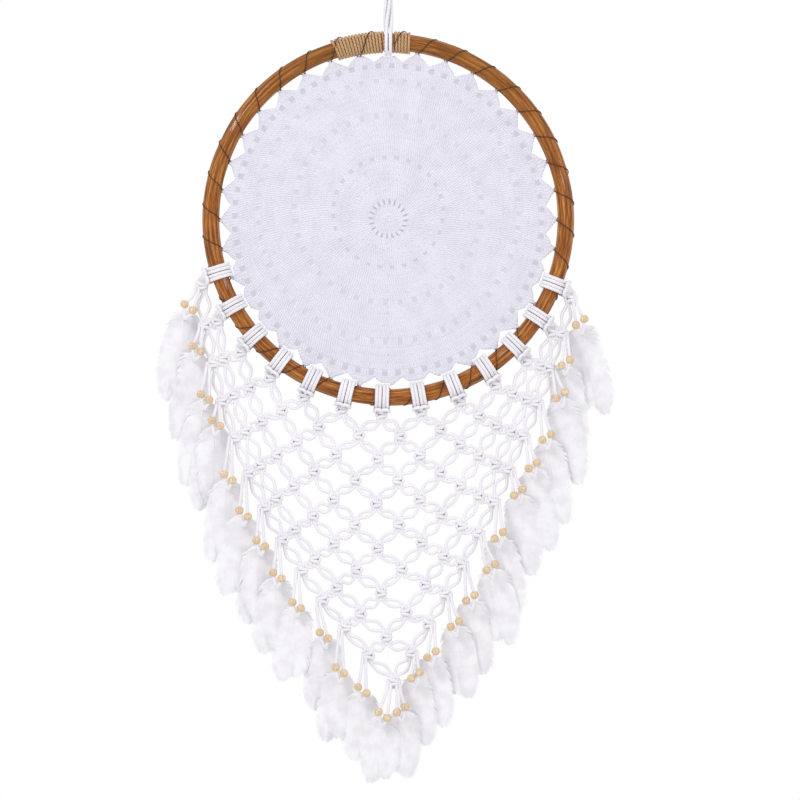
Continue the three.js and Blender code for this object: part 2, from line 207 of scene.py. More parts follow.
def grid(points, along, around=True, closed=False, tone=0.5):
    """Quads over a batch of point grids (batch, rows, columns, 3), facing out of a tube.

    Columns join up round a tube, and rows do where the path is closed. U is the length along and
    V the share of the way round. Tone is a number for each grid that its material may read."""
    batch, rows, columns = points.shape[:3]
    i, j = np.meshgrid(
        np.arange(rows if closed else rows - 1),
        np.arange(columns if around else columns - 1),
        indexing="ij",
    )
    ci, cj = np.stack([i, i, i + 1, i + 1], -1), np.stack([j, j + 1, j + 1, j], -1)
    local = ((ci % rows) * columns + cj % columns).reshape(1, -1, 4)
    faces = (local + (np.arange(batch) * rows * columns)[:, None, None]).reshape(-1, 4)
    along = np.broadcast_to(along, (batch, along.shape[-1]))
    if closed:
        along = np.column_stack([along, 2 * along[:, -1] - along[:, -2]])
    u = along[:, ci.reshape(-1, 4)]
    v = np.broadcast_to(cj.reshape(1, -1, 4) / (columns if around else columns - 1), u.shape)
    tones = np.repeat(np.broadcast_to(tone, batch), rows * columns)
    return points.reshape(-1, 3), faces, np.stack([u, v], -1).reshape(-1, 4, 2), tones


def circle(angle, first, second):
    """Points of a unit circle from its first axis towards its second one."""
    return np.cos(angle) * first + np.sin(angle) * second


def tube(path, radius, sides, lobes=0, lay=9.0, depth=0.0, closed=False):
    """Tubes round paths (batch, n, 3) or one path (n, 3).

    Each point carries a ring: the path point plus radius times (cosine x normal + sine x binormal).
    With lobes, the radius dips between them and the dips wind once round per lay length, as the
    plies of a cord do. Open ends are closed to a point."""
    path = np.atleast_3d(path) if path.ndim == 3 else path[None]
    if closed:
        looped = np.concatenate([path[:, -2:], path, path[:, :2]], axis=1)
        _, normal, binormal = (f[:, 2:-2] for f in frames_along(looped))
    else:
        _, normal, binormal = frames_along(path)
    s = lengths_along(path)
    radius = np.broadcast_to(radius, s.shape)
    phi = np.arange(sides) * 2 * np.pi / sides
    ply = np.abs(np.cos(0.5 * lobes * (phi - 2 * np.pi * s[..., None] / lay)))
    ring = radius[..., None] * (1 - depth * (1 - ply)) if lobes else radius[..., None] + 0 * phi
    points = path[:, :, None] + ring[..., None] * circle(
        phi[:, None], normal[:, :, None], binormal[:, :, None]
    )
    if not closed:
        first, last = (np.repeat(path[:, k][:, None, None], sides, axis=2) for k in (0, -1))
        points = np.concatenate([first, points, last], axis=1)
        s = np.concatenate([s[:, :1], s, s[:, -1:]], axis=1)
    return grid(points, s, closed=closed)


def turned(profile, steps=24, tone=0.5):
    """A lathe form: profile points (radius, height) carried round the Z axis, a closed loop."""
    phi = -np.arange(steps) * 2 * np.pi / steps
    r, h = np.asarray(profile, float).T
    points = np.stack(
        [r[:, None] * np.cos(phi), r[:, None] * np.sin(phi), h[:, None] + 0 * phi], -1
    )
    return grid(points[None], lengths_along(np.column_stack([r, h])), closed=True, tone=tone)


def moved(part, matrix=None, shift=(0, 0, 0)):
    """A part with its points turned by a 3 x 3 matrix and then shifted."""
    points = part[0] if matrix is None else part[0] @ np.asarray(matrix).T
    return (points + np.asarray(shift, float), *part[1:])


def turn(axis, degrees):
    return np.array(Matrix.Rotation(math.radians(degrees), 3, axis))


def added(name, data):
    """A new object in the scene's collection."""
    made = bpy.data.objects.new(name, data)
    bpy.context.collection.objects.link(made)
    return made


def piece(name, parts, material, body, replaces=(), weld=True, recalculate=False):
    """Joins parts, given in millimetres, into one object that rides on a CAD body."""
    counts = np.cumsum([0] + [len(p[0]) for p in parts])
    points = np.concatenate([p[0] for p in parts]) * MM
    faces = np.concatenate([p[1] + n for p, n in zip(parts, counts)])
    uvs = np.concatenate([p[2] for p in parts]) * (MM, 1)
    tones = np.concatenate([p[3] for p in parts])
    mesh = bpy.data.meshes.new(name)
    mesh.vertices.add(len(points))
    mesh.vertices.foreach_set("co", points.ravel())
    mesh.loops.add(faces.size)
    mesh.loops.foreach_set("vertex_index", faces.ravel())
    mesh.polygons.add(len(faces))
    mesh.polygons.foreach_set("loop_start", np.arange(len(faces)) * 4)
    mesh.polygons.foreach_set("loop_total", np.full(len(faces), 4))
    mesh.update(calc_edges=True)
    mesh.uv_layers.new(name="UVMap").data.foreach_set("uv", uvs.ravel())
    mesh.attributes.new("tone", "FLOAT", "POINT").data.foreach_set("value", tones.ravel())
    if weld:
        work = bmesh.new()
        work.from_mesh(mesh)
        bmesh.ops.remove_doubles(work, verts=work.verts, dist=1e-7)
        if recalculate:
            bmesh.ops.recalc_face_normals(work, faces=work.faces)
        work.to_mesh(mesh)
        work.free()
    mesh.validate()
    mesh.shade_smooth()
    obj = added(name, mesh)
    mesh.materials.append(material)
    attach(obj, body)
    for node in replaces:
        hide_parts(node)
    return obj


# ---- Materials ----------------------------------------------------------------------------
def linear(colour):
    """The linear RGB of an sRGB hex colour."""
    srgb = np.array([int(colour[k : k + 2], 16) / 255 for k in (1, 3, 5)])
    return tuple(np.where(srgb <= 0.04045, srgb / 12.92, ((srgb + 0.055) / 1.055) ** 2.4))


def node(tree, kind, inputs=None, **settings):
    """Adds a node, sets its settings, and sets each named or numbered input or links it."""
    made = tree.nodes.new(kind)
    for name, value in settings.items():
        setattr(made, name, value)
    for name, value in (inputs or {}).items():
        if isinstance(value, bpy.types.NodeSocket):
            tree.links.new(value, made.inputs[name])
        else:
            made.inputs[name].default_value = value
    return made


def ramp(tree, factor, stops):
    """A colour ramp with stops of (position, linear RGB)."""
    made = node(tree, "ShaderNodeValToRGB", {"Fac": factor})
    elements = made.color_ramp.elements
    while len(elements) < len(stops):
        elements.new(0.5)
    for element, (position, colour) in zip(elements, stops):
        element.position = position
        element.color = (*colour[:3], 1)
    return made.outputs["Color"]


def noise(tree, vector, scale=1.0, detail=2.0, roughness=0.5):
    inputs = {"Vector": vector, "Scale": scale, "Detail": detail, "Roughness": roughness}
    return node(tree, "ShaderNodeTexNoise", inputs).outputs["Fac"]


def mixed(tree, share, first, second, blend="MIX"):
    """The first colour mixed with a share of the second one, which may be a fixed linear RGB."""
    second = second if isinstance(second, bpy.types.NodeSocket) else (*second, 1)
    inputs = {0: share, 6: first, 7: second}
    return node(tree, "ShaderNodeMix", inputs, data_type="RGBA", blend_type=blend).outputs[2]


def combined(tree, operation, first, second):
    return node(tree, "ShaderNodeMath", {0: first, 1: second}, operation=operation).outputs[0]


def object_place(tree):
    return node(tree, "ShaderNodeTexCoord").outputs["Object"]


def tone_of(tree):
    """The tone that each part's points carry."""
    return node(tree, "ShaderNodeAttribute", attribute_name="tone").outputs["Fac"]


def spun_fibre(tree, along_mm, around, lean, stretch):
    """UV drawn out into fibres that lean round a cord: U in metres, V once round it."""
    uv = node(tree, "ShaderNodeTexCoord").outputs["UV"]
    scale, rotation = (1000 / along_mm, around, 1), (0, 0, math.radians(lean))
    inputs = {"Vector": uv, "Scale": scale, "Rotation": rotation}
    leaning = node(tree, "ShaderNodeMapping", inputs).outputs["Vector"]
    inputs = {"Vector": leaning, "Scale": (1, stretch, 1)}
    return node(tree, "ShaderNodeMapping", inputs).outputs["Vector"]


def new_material(name, **constants):
    """A material with a Principled shader whose constants are set on its own sockets. Its tree and
    shader are None if the material is there already."""
    material = bpy.data.materials.get(name)
    if material:
        return material, None, None
    material = bpy.data.materials.new(name)
    material.use_nodes = True
    shader = material.node_tree.nodes["Principled BSDF"]
    for socket, value in constants.items():
        shader.inputs[socket.replace("_", " ")].default_value = value
    return material, material.node_tree, shader


def dress(tree, shader, colour, height=None, strength=0.0, depth_mm=0.0):
    """Links a colour to the shader, and bumps of the given depth where there is a height."""
    tree.links.new(colour, shader.inputs["Base Color"])
    if height:
        inputs = {"Height": height, "Strength": strength, "Distance": depth_mm * MM}
        bump = node(tree, "ShaderNodeBump", inputs)
        tree.links.new(bump.outputs["Normal"], shader.inputs["Normal"])


def cotton_cord():
    """Combed cotton, spun soft in three plies: matt, a little hairy, shaded between its fibres."""
    colours = bpy.context.scene.dream_catcher_colours
    material, tree, shader = new_material(
        "combed_cotton_cord", Roughness=0.88, IOR=1.5, Sheen_Weight=0.25, Sheen_Roughness=0.5
    )
    if tree:
        fibres = noise(tree, spun_fibre(tree, 4.0, 3.0, 30, 5.0), 1.0, 4.0, 0.6)
        batch = noise(tree, object_place(tree), 35.0)
        half = combined(tree, "MULTIPLY", combined(tree, "ADD", fibres, batch), 0.5)
        shades = ramp(tree, half, [(0.3, colours.cotton_shade), (0.62, colours.cotton)])
        dress(tree, shader, shades, fibres, 0.5, 0.25)
    return material


def crochet_cotton(ground=False):
    """Mercerised crochet cotton, tightly spun: smoother than the cord, with a faint gloss. The
    ground is the same yarn where it lies deep between the raised stitches, with painted shade that
    darkens it the deeper it lies."""
    colours = bpy.context.scene.dream_catcher_colours
    name = "crochet_cotton_ground_painted_shade" if ground else "mercerised_crochet_cotton"
    material, tree, shader = new_material(name, Roughness=0.72, IOR=1.5, Sheen_Weight=0.15)
    if tree:
        place = object_place(tree)
        stops = [(0.35, colours.crochet_shade), (0.6, colours.crochet)]
        yarn = ramp(tree, noise(tree, place, 60.0, 3.0), stops)
        if ground:
            # 1.6 mm loops of the yarn seen end on, with painted shade that darkens them the deeper
            # they lie
            inputs = {"Vector": place, "Scale": 620.0}
            height = node(tree, "ShaderNodeTexVoronoi", inputs).outputs["Distance"]
            # painted shade: a darker copy of the yarn's shade colour, mixed in by each point's
            # depth
            dark = [0.72 * c for c in colours.crochet_shade]
            yarn = mixed(tree, tone_of(tree), yarn, dark)
        else:
            height = noise(tree, spun_fibre(tree, 1.6, 4.0, 40, 3.0))
        dress(tree, shader, yarn, height, 0.4, 0.3)
    return material


def jute_twine():
    """Jute, two plies: coarse dry fibres, tan with paler and darker ones, no gloss."""
    colours = bpy.context.scene.dream_catcher_colours
    constants = {"Roughness": 0.85, "IOR": 1.5, "Sheen_Weight": 0.1}
    material, tree, shader = new_material("spun_jute_twine", **constants)
    if tree:
        fibres = noise(tree, spun_fibre(tree, 5.0, 3.0, 25, 6.0), 1.0, 5.0, 0.7)
        stops = [(0.28, colours.jute_dark), (0.5, colours.jute), (0.7, colours.jute_pale)]
        dress(tree, shader, ramp(tree, fibres, stops), fibres, 0.8, 0.3)
    return material


def waxed_thread():
    """Waxed polyester lacing thread: dark brown, with a soft waxy gloss on each filament and
    painted shade where its twist sinks.
    """
    colours = bpy.context.scene.dream_catcher_colours
    material, tree, shader = new_material("waxed_lacing_thread", Roughness=0.42, IOR=1.5)
    if tree:
        twist = noise(tree, spun_fibre(tree, 1.5, 4.0, 45, 3.0))
        # painted shade: the twist noise that bumps the thread also darkens it where the twist sinks
        shades = ramp(tree, twist, [(0.3, colours.thread_twist_shade), (0.7, colours.thread)])
        dress(tree, shader, shades, twist, 0.5, 0.15)
    return material


def varnished_rattan():
    """Peeled rattan core under clear varnish: long pale and dark fibre streaks, darker towards the
    top of the ring where the stain lies thicker, and a thin glossy coat."""
    colours = bpy.context.scene.dream_catcher_colours
    material, tree, shader = new_material(
        "varnished_rattan",
        Roughness=0.5,
        IOR=1.5,
        Specular_IOR_Level=0.1,
        Coat_Weight=0.5,
        Coat_Roughness=0.12,
        Coat_IOR=1.5,
    )
    if tree:
        streaks = noise(tree, spun_fibre(tree, 38.0, 14.0, 0, 1.6), 1.0, 6.0, 0.65)
        stops = [(0.34, colours.rattan_dark), (0.5, colours.rattan), (0.64, colours.rattan_pale)]
        pores = noise(tree, spun_fibre(tree, 6.0, 40.0, 0, 2.0), 1.0, 3.0)
        fine = ramp(tree, pores, [(0.36, (0.55, 0.5, 0.45)), (0.52, (1, 1, 1))])
        wood = mixed(tree, 0.65, ramp(tree, streaks, stops), fine, "MULTIPLY")
        # The stain fades out from the hoop's top down to its middle, in patches
        place = object_place(tree)
        height = node(tree, "ShaderNodeSeparateXYZ", {0: place}).outputs["Z"]
        inputs = {"Value": height, "From Min": -0.26, "From Max": -0.09, "To Max": 0.9}
        up = node(tree, "ShaderNodeMapRange", inputs).outputs["Result"]
        patchy = combined(tree, "MULTIPLY", up, noise(tree, place, 9.0))
        wood = mixed(tree, patchy, wood, colours.rattan_stain)
        dress(tree, shader, wood, combined(tree, "ADD", streaks, pores), 0.45, 0.35)
    return material


def turned_birch():
    """Birch beads, turned and tumbled without varnish: fine grain, each bead of its own tone."""
    colours = bpy.context.scene.dream_catcher_colours
    material, tree, shader = new_material("turned_birch", Roughness=0.5, IOR=1.5)
    if tree:
        inputs = {"Vector": object_place(tree), "Scale": (1, 1, 0.18)}
        upright = node(tree, "ShaderNodeMapping", inputs).outputs["Vector"]
        grain = noise(tree, upright, 1400.0, 3.0)
        wood = ramp(tree, grain, [(0.35, colours.bead_dark), (0.6, colours.bead)])
        dress(tree, shader, mixed(tree, tone_of(tree), wood, colours.bead_dark), grain, 0.3, 0.1)
    return material


def goose_feather(quill=False):
    """White goose feather: matt barbs that scatter the light, and a shaft of smooth pale horn."""
    colours = bpy.context.scene.dream_catcher_colours
    material, tree, shader = new_material(
        "feather_shaft" if quill else "white_goose_feather",
        Roughness=0.4 if quill else 0.8,
        IOR=1.54,
        Sheen_Weight=0.0 if quill else 0.3,
    )
    if tree:
        drift = noise(tree, object_place(tree), 90.0, 3.0)
        pale = colours.quill if quill else colours.feather
        dress(tree, shader, ramp(tree, drift, [(0.35, colours.feather_shade), (0.6, pale)]))
    return material


# ---- Sizes and colours that a user may change ---------------------------------------------
def measure(name, about, default, **limits):
    return FloatProperty(name=name, description=about, default=default, precision=4, **limits)


def length(name, about, default, low=0.0001, high=0.5):
    return measure(name, about, default, min=low, max=high, unit="LENGTH")


def count(name, about, default, low=0):
    return IntProperty(name=name, description=about, default=default, min=low)


def colour(name, about, default):
    rgb = linear(default)
    return FloatVectorProperty(
        name=name, description=about, default=rgb, min=0, max=1, subtype="COLOR"
    )


class DreamCatcherSizes(bpy.types.PropertyGroup):
    """Sizes of the yarns, cords, beads and feathers. The places come from the CAD parts."""

    cord: length("Cord", "Diameter of the cotton cord", 0.0035)
    cord_lay: length("Cord lay", "Length in which a ply winds once round the cord", 0.0095)
    cord_step: length("Cord step", "Distance between rings of a cord's surface", 0.0012)
    yarn: length("Yarn", "Diameter of the crochet yarn", 0.0019)
    stitch: length("Stitch", "Width of one crochet stitch", 0.0022)
    twine: length("Twine", "Diameter of the jute twine", 0.0026)
    twine_spacing: length("Twine spacing", "From one turn of twine to the next", 0.0030)
    thread: length("Thread", "Diameter of the lacing thread", 0.0010)
    ridges: count("Ridges", "Ridges round the rattan", 10, 3)
    ridge_height: length("Ridge height", "Height of the rattan's ridges", 0.0002, 0)
    bead: length("Bead", "Diameter of a wooden bead", 0.008)
    bore: length("Bore", "Diameter of a bead's hole", 0.0038)
    feather_width: length("Feather width", "Width of one feather", 0.031)
    barbs: count("Barbs", "Barbs on each side of a feather", 96, 8)
    seed: count("Seed", "Choice of loose fibres, stitches and feathers", 7)


class DreamCatcherColours(bpy.types.PropertyGroup):
    """Colours of the materials."""

    cotton: colour("Cotton", "Cotton cord in the light", "#f0eef3")
    cotton_shade: colour("Cotton shade", "Cotton cord between its fibres", "#e3e1e8")
    crochet: colour("Crochet", "Crochet yarn in the light", "#e5e3ef")
    crochet_shade: colour("Crochet shade", "Crochet yarn between its plies", "#dfdde9")
    rattan: colour("Rattan", "The body of the rattan", "#9a550f")
    rattan_pale: colour("Rattan pale", "Pale fibres of the rattan", "#ca8b40")
    rattan_dark: colour("Rattan dark", "Dark fibres of the rattan", "#572c06")
    rattan_stain: colour("Rattan stain", "Stain near the top of the ring", "#7a4a0c")
    jute: colour("Jute", "The body of the jute", "#c49a6c")
    jute_pale: colour("Jute pale", "Pale jute fibres", "#e6cba8")
    jute_dark: colour("Jute dark", "Dark jute fibres", "#98703f")
    thread: colour("Thread", "Lacing thread in the light", "#5a3118")
    # painted shade of the thread in its twist
    thread_twist_shade: colour("Thread twist shade", "Lacing thread in its twist", "#2c160a")
    bead: colour("Bead", "The beads' wood", "#ebdabb")
    bead_dark: colour("Bead dark", "The beads' grain and bores", "#cba478")
    feather: colour("Feather", "Feather barbs", "#faf9fc")
    feather_shade: colour("Feather shade", "Feather barbs in the down", "#f1eff5")
    quill: colour("Quill", "Feather shaft", "#f2f0f1")


class DreamCatcherStage(bpy.types.PropertyGroup):
    """The camera and the lights."""

    distance: length("Camera distance", "From the camera to the hoop's plane", 2.8, 0.5, 10)
    view: length("View", "Side of the square that the camera frames", 0.7536, 0.1, 3)
    centre_x: length("Centre across", "Middle of the view", 0.011, -3, 3)
    centre_z: length("Centre up", "Middle of the view", -0.4348, -3, 3)
    floor_z: length("Floor", "Height of the floor", -1.0, -3, 3)
    key: measure("Key", "Power of the main soft light", 14.0, unit="POWER", min=0)
    fill: measure("Fill", "Power of the fill light", 6.5, unit="POWER", min=0)


# ---- Pieces -------------------------------------------------------------------------------
class DREAMCATCHER_OT_stage(bpy.types.Operator):
    """Camera, soft lights, white surroundings and a plain floor"""

    bl_idname = "dream_catcher.stage"
    bl_label = "Stage"

    def execute(self, context):
        stage = context.scene.dream_catcher_stage
        camera = added("camera", bpy.data.cameras.new("camera"))
        camera.data.sensor_width = 36.0
        camera.data.lens = 36.0 * stage.distance / stage.view
        camera.data.clip_end = 50
        camera.location = (stage.centre_x, -stage.distance, stage.centre_z)
        camera.rotation_euler = (math.radians(90), 0, 0)
        context.scene.camera = camera

        target = Vector((0, 0, stage.centre_z))
        for name, place, size, power in (
            ("key_light", (-1.2, -1.8, 0.8), 0.5, stage.key),
            ("fill_light", (1.6, -1.6, 0.4), 0.5, stage.fill),
        ):
            lamp = bpy.data.lights.new(name, "AREA")
            lamp.shape = "SQUARE"
            lamp.size = size
            lamp.energy = power
            light = added(name, lamp)
            light.location = place
            light.rotation_euler = (target - Vector(place)).to_track_quat("-Z", "Y").to_euler()

        world = bpy.data.worlds.new("white_room")
        world.use_nodes = True
        tree = world.node_tree
        tree.nodes.clear()
        seen = node(tree, "ShaderNodeLightPath").outputs["Is Camera Ray"]
        inputs = {"Value": seen, "To Min": 0.86, "To Max": 1.0}
        strength = node(tree, "ShaderNodeMapRange", inputs).outputs["Result"]
        inputs = {"Color": (1, 1, 1, 1), "Strength": strength}
        background = node(tree, "ShaderNodeBackground", inputs)
        node(tree, "ShaderNodeOutputWorld", {"Surface": background.outputs[0]})
        context.scene.world = world
        context.scene.view_settings.view_transform = "Standard"

        side = np.linspace(-1.3, 1.3, 3) / MM
        x, y = np.meshgrid(side, side, indexing="ij")
        sheet = np.stack([x, y, 0 * x + stage.floor_z / MM], -1)
        points, faces, *_ = grid(sheet[None], side, around=False)
        mesh = bpy.data.meshes.new("floor")
        mesh.from_pydata((points * MM).tolist(), [], faces[:, ::-1].tolist())
        floor = added("floor", mesh)
        paint, tree, shader = new_material("matt_white_floor", Roughness=0.9)
        drift = noise(tree, object_place(tree), 3.0)
        dress(tree, shader, ramp(tree, drift, [(0.3, linear("#eeeeee")), (0.7, linear("#f4f4f4"))]))
        mesh.materials.append(paint)
        return {"FINISHED"}


def even_out(values, reach):
    """The mean of each value with its neighbours up to the reach on both sides."""
    n = 2 * reach + 1
    return np.convolve(np.pad(values, reach, mode="edge"), np.ones(n) / n, mode="valid")


def cord_tube(path, sizes, share=1.0, sides=12):
    """Three-ply cotton cord along a path, its radius a share of the cord's own."""
    radius = share * sizes.cord / MM / 2
    return tube(path, radius, sides, lobes=3, lay=sizes.cord_lay / MM, depth=0.2)


class DREAMCATCHER_OT_hanging(bpy.types.Operator):
    """Hanging eye with its wrapped knot, the rope of four cords and the hanger round the hoop"""

    bl_idname = "dream_catcher.hanging"
    bl_label = "Eye, rope and hanger"

    def execute(self, context):
        sizes = context.scene.dream_catcher_sizes
        cotton, step = cotton_cord(), sizes.cord_step / MM

        # The eye: two cords side by side round a tall ring, wider below than an ellipse
        a = np.radians(np.linspace(-172, 172, 60))
        x = EYE_HALF_WIDTH * np.sin(a) * (1 - 0.1 * np.cos(a))
        eye = []
        for side in (-1, 1):
            ring = np.column_stack([x, side * 1.45 + 0 * a, EYE_Z + EYE_HALF_HEIGHT * np.cos(a)])
            eye.append(cord_tube(smooth(ring, step), sizes, 0.98))
        # The knot: a helix of cord wound round the four strands, its turns touching
        t = np.linspace(0, 1, int(WRAP_TURNS * 26))
        wind = 2 * np.pi * WRAP_TURNS * t
        x, y = WRAP_RADIUS * np.cos(wind), WRAP_RADIUS * np.sin(wind)
        wrap = np.column_stack([x, y, lerp(WRAP_TOP_Z, WRAP_FOOT_Z, t)])
        eye.append(cord_tube(smooth(wrap, step), sizes, 0.98))
        core = np.column_stack([0 * t, 0 * t, lerp(-40.5, -57.2, t)])
        eye.append(tube(core, 5.2, 12))
        piece("hanging_eye", eye, cotton, "loop", ["hanging_loop"])

        # The rope: four strands a quarter turn apart that wind 75 degrees on their way down
        t = np.linspace(0, 1, 22)
        z = lerp(ROPE_TOP_Z, ROPE_FOOT_Z, t)
        for k in range(4):
            a = np.radians(45 + 90 * k) + np.radians(75) * (1 - t)
            r = 2.6 + 0.5 * np.sin(np.pi * np.clip(t * 1.3 - 0.3, 0, 1)) + 0.5 * t**4
            path = smooth(np.column_stack([r * np.cos(a), r * np.sin(a), z]), step)
            cord, replaced = cord_tube(path, sizes), ["hanging_rope"] if k == 0 else []
            strand = piece(f"rope_strand_{k + 1}", [cord], cotton, "rope", replaced)

        # The hanger: two cords, each down the front, under the hoop's inner side and up the back
        a = np.radians(np.linspace(20, 340, 40))
        y, z = -HANGER_RADIUS * np.sin(a), HOOP_TOP_Z + HANGER_RADIUS * np.cos(a)
        rings = []
        for side in (-1, 1):
            ring = np.column_stack([side * 1.95 + 0 * a, y, z])
            front, back = [side * 2.0, -1.9, -84.3], [side * 2.0, 1.9, -84.3]
            rings.append(cord_tube(smooth(np.vstack([front, ring, back]), step), sizes))
        piece("hanger_cords", rings, cotton, "hanger", ["hanger_hitch"])
        return {"FINISHED"}


class DREAMCATCHER_OT_hoop(bpy.types.Operator):
    """Rattan hoop with its ridges, the jute wrap and the lacing thread"""

    bl_idname = "dream_catcher.hoop"
    bl_label = "Hoop, wrap and lacing"

    def execute(self, context):
        sizes = context.scene.dream_catcher_sizes
        rng = np.random.default_rng(sizes.seed)

        # Rattan: a ring whose radius ripples with ridges that wander slowly round the section
        steps, sides = 720, 96
        a = np.linspace(0, 360, steps, endpoint=False)
        centre = on_hoop(a)
        outward = unit(centre - HOOP_CENTRE)
        phi = np.arange(sides) * 2 * np.pi / sides
        around = np.radians(a)[:, None]
        wander = 0.5 * np.sin(2 * around + 1) + 0.3 * np.sin(5 * around)
        ridge = np.cos(sizes.ridges * (phi + wander)) + 0.6 * np.cos(7 * (phi + wander) + 2)
        swell = 0.12 * np.sin(3 * around) + 0.08 * np.sin(8 * around + 2)
        r = RATTAN_RADIUS + swell - 0.1 + sizes.ridge_height / MM * ridge
        points = centre[:, None] + r[..., None] * circle(phi[:, None], outward[:, None], FRONT)
        arc = np.radians(a) * HOOP_RADIUS
        ring, rattan = grid(points[None], arc, closed=True), varnished_rattan()
        piece("rattan_ring", [ring], rattan, "catcher", ["rattan_hoop"], recalculate=True)

        # Jute: two plies wound about a helix round the rattan, the first turns crooked, and
        # pressed flat under the hanger. Arc is the length along the hoop from its top.
        twine, pitch = sizes.twine / MM, sizes.twine_spacing / MM
        arc = np.linspace(TWINE_START, TWINE_END, int((TWINE_END - TWINE_START) / pitch * 44))
        angle = 2 * np.pi * (arc - TWINE_START) / pitch
        crooked = np.exp(-(arc - TWINE_START) / 6.0) * 1.4
        arc = arc - crooked * (0.5 + 0.8 * np.cos(angle + 0.8))
        squeeze = even_out(1 - 0.62 * (np.abs(arc) < HALF_GROOVE + 0.4), 6)
        radius = RATTAN_RADIUS + 0.05 + twine / 2 * squeeze
        spot = on_hoop(180 - np.degrees(arc / HOOP_RADIUS))
        out = unit(spot - HOOP_CENTRE)
        centreline = spot + radius[:, None] * circle(angle[:, None], out, FRONT)
        _, normal, binormal = frames_along(centreline)
        s = lengths_along(centreline)
        parts = []
        for k in range(2):
            wind = (2 * np.pi * s / 6.5 + np.pi * k)[:, None]
            ply = centreline + 0.6 * squeeze[:, None] * circle(wind, normal, binormal)
            parts.append(tube(ply, 0.86 * (0.35 + 0.65 * squeeze), 8))
        # Loose fibres that stand off the twine
        n = 260
        picks = rng.integers(5, len(centreline) - 5, n)
        off = normal[picks] * rng.normal(size=(n, 1)) + binormal[picks] * rng.normal(size=(n, 1))
        t = np.linspace(0, 1, 5)[None, :, None]
        lean = rng.normal(size=(n, 1, 3)) * 0.8
        reach = rng.uniform(1.2, 3.0, (n, 1, 1))
        hairs = centreline[picks][:, None] + unit(off)[:, None] * (1.0 + reach * t) + lean * t**2
        parts.append(tube(hairs, 0.05 * (1.2 - np.linspace(0, 1, 5)), 3))
        piece("twine_wrap", parts, jute_twine(), "catcher", ["jute_wrap"])

        # Lacing: a helix round the hoop, one turn to a scallop, wider over the twine
        pitch = 360 / SCALLOPS
        room = HALF_GROOVE + sizes.thread / MM / 2 + 0.4
        start = 180 - np.degrees(-room / HOOP_RADIUS) - 360
        end = 180 - np.degrees(room / HOOP_RADIUS)
        turns = (end - start) / pitch
        angle = np.linspace(start, end, int(turns * 40))
        over = even_out(at_twine(along_hoop(angle), 2.2).astype(float), 5)
        turn_angle = 2 * np.pi * angle / pitch
        hook = np.maximum(np.cos(turn_angle), 0) ** 8  # reaches in to take the scallop's tip
        radius = lerp(RATTAN_RADIUS + 0.45 + 0.7 * hook, TWINE_OUTSIDE + 0.2 + 0.6 * hook, over)
        mid = on_hoop(angle, HOOP_RADIUS - radius * np.cos(turn_angle))
        path = np.column_stack([mid[:, 0], radius * np.sin(turn_angle), mid[:, 2]])
        lacing = tube(path, sizes.thread / MM / 2, 8, lobes=3, lay=2.6, depth=0.22)
        piece("lacing_thread", [lacing], waxed_thread(), "catcher", ["lashing_thread"])
        return {"FINISHED"}


# ---- The doily ----------------------------------------------------------------------------
def lift(radius):
    """How far the middle rounds of the stretched doily sit above the hoop's centre."""
    return np.interp(radius, [0, 16, 51, 88, 123, 143, 158], [0, 0, 6.5, 9.5, 8, 0, 0])


def on_doily(radius, angle, y):
    """A point of the doily: distance from its middle, radians from straight down, and depth."""
    z = HOOP_Z - radius * np.cos(angle) + lift(radius)
    return np.stack(np.broadcast_arrays(radius * np.sin(angle), y, z), -1)


def doily_edge(angle):
    """The zigzag outline: its radius falls evenly from each scallop's tip to the valleys beside it,
    and stays inside the hitches and the twine."""
    share = np.abs((np.degrees(angle) * SCALLOPS / 360 + 0.5) % 1 - 0.5) * 2
    edge = DOILY_RADIUS + 0.6 - SCALLOP_DEPTH * share**1.25 + 2.6 * np.exp(-((share / 0.14) ** 2))
    degrees = (np.degrees(angle) + 180) % 360 - 180
    near = np.min(np.abs(degrees[..., None] - HITCH_ANGLES), axis=-1) < 3.0
    arc = along_hoop(degrees)
    near |= np.abs(arc) < HALF_GROOVE + 1
    edge = np.where(near, np.minimum(edge, DOILY_GAP_RADIUS), edge)
    return np.where(at_twine(arc, 3), np.minimum(edge, HOOP_RADIUS - TWINE_OUTSIDE), edge)


# Rounds of the doily from the middle out: inner and outer radius in millimetres, the number of
# holes in the round, the share of each repeat that is open, and how deep the holes are, which also
# sets how dark their painted shade is
ROUNDS = [
    (2.6, 7.8, 0, 0, 0), (7.8, 13.0, 0, 0, 0), (13.0, 19.6, 20, 0.42, 1.0), (19.6, 25.0, 0, 0, 0),
    (25.0, 30.4, 0, 0, 0), (30.4, 34.6, 28, 0.26, 0.35), (34.6, 39.4, 0, 0, 0),
    (39.4, 44.6, 28, 0.3, 0.3), (44.6, 49.4, 0, 0, 0), (49.4, 54.4, 28, 0.36, 0.7),
    (54.4, 59.8, 0, 0, 0), (59.8, 65.2, 0, 0, 0), (65.2, 70.6, 0, 0, 0), (70.6, 76.0, 0, 0, 0),
    (76.0, 79.6, 40, 0.18, 0.3), (79.6, 84.6, 0, 0, 0), (84.6, 92.0, 40, 0.36, 0.6),
    (92.0, 97.4, 0, 0, 0), (97.4, 102.8, 0, 0, 0), (102.8, 108.2, 0, 0, 0),
    (108.2, 113.8, 0, 0, 0), (113.8, 119.4, 0, 0, 0), (119.4, 126.6, 56, 0.32, 0.6),
    (126.6, 132.0, 0, 0, 0), (132.0, 137.0, 0, 0, 0), (137.0, 141.2, 0, 0, 0),
    (141.2, 148.0, 72, 0.46, 0.85),
]


RAISED_OUT_TO = [80, 120, 140]  # the rounds are shared out between four pieces


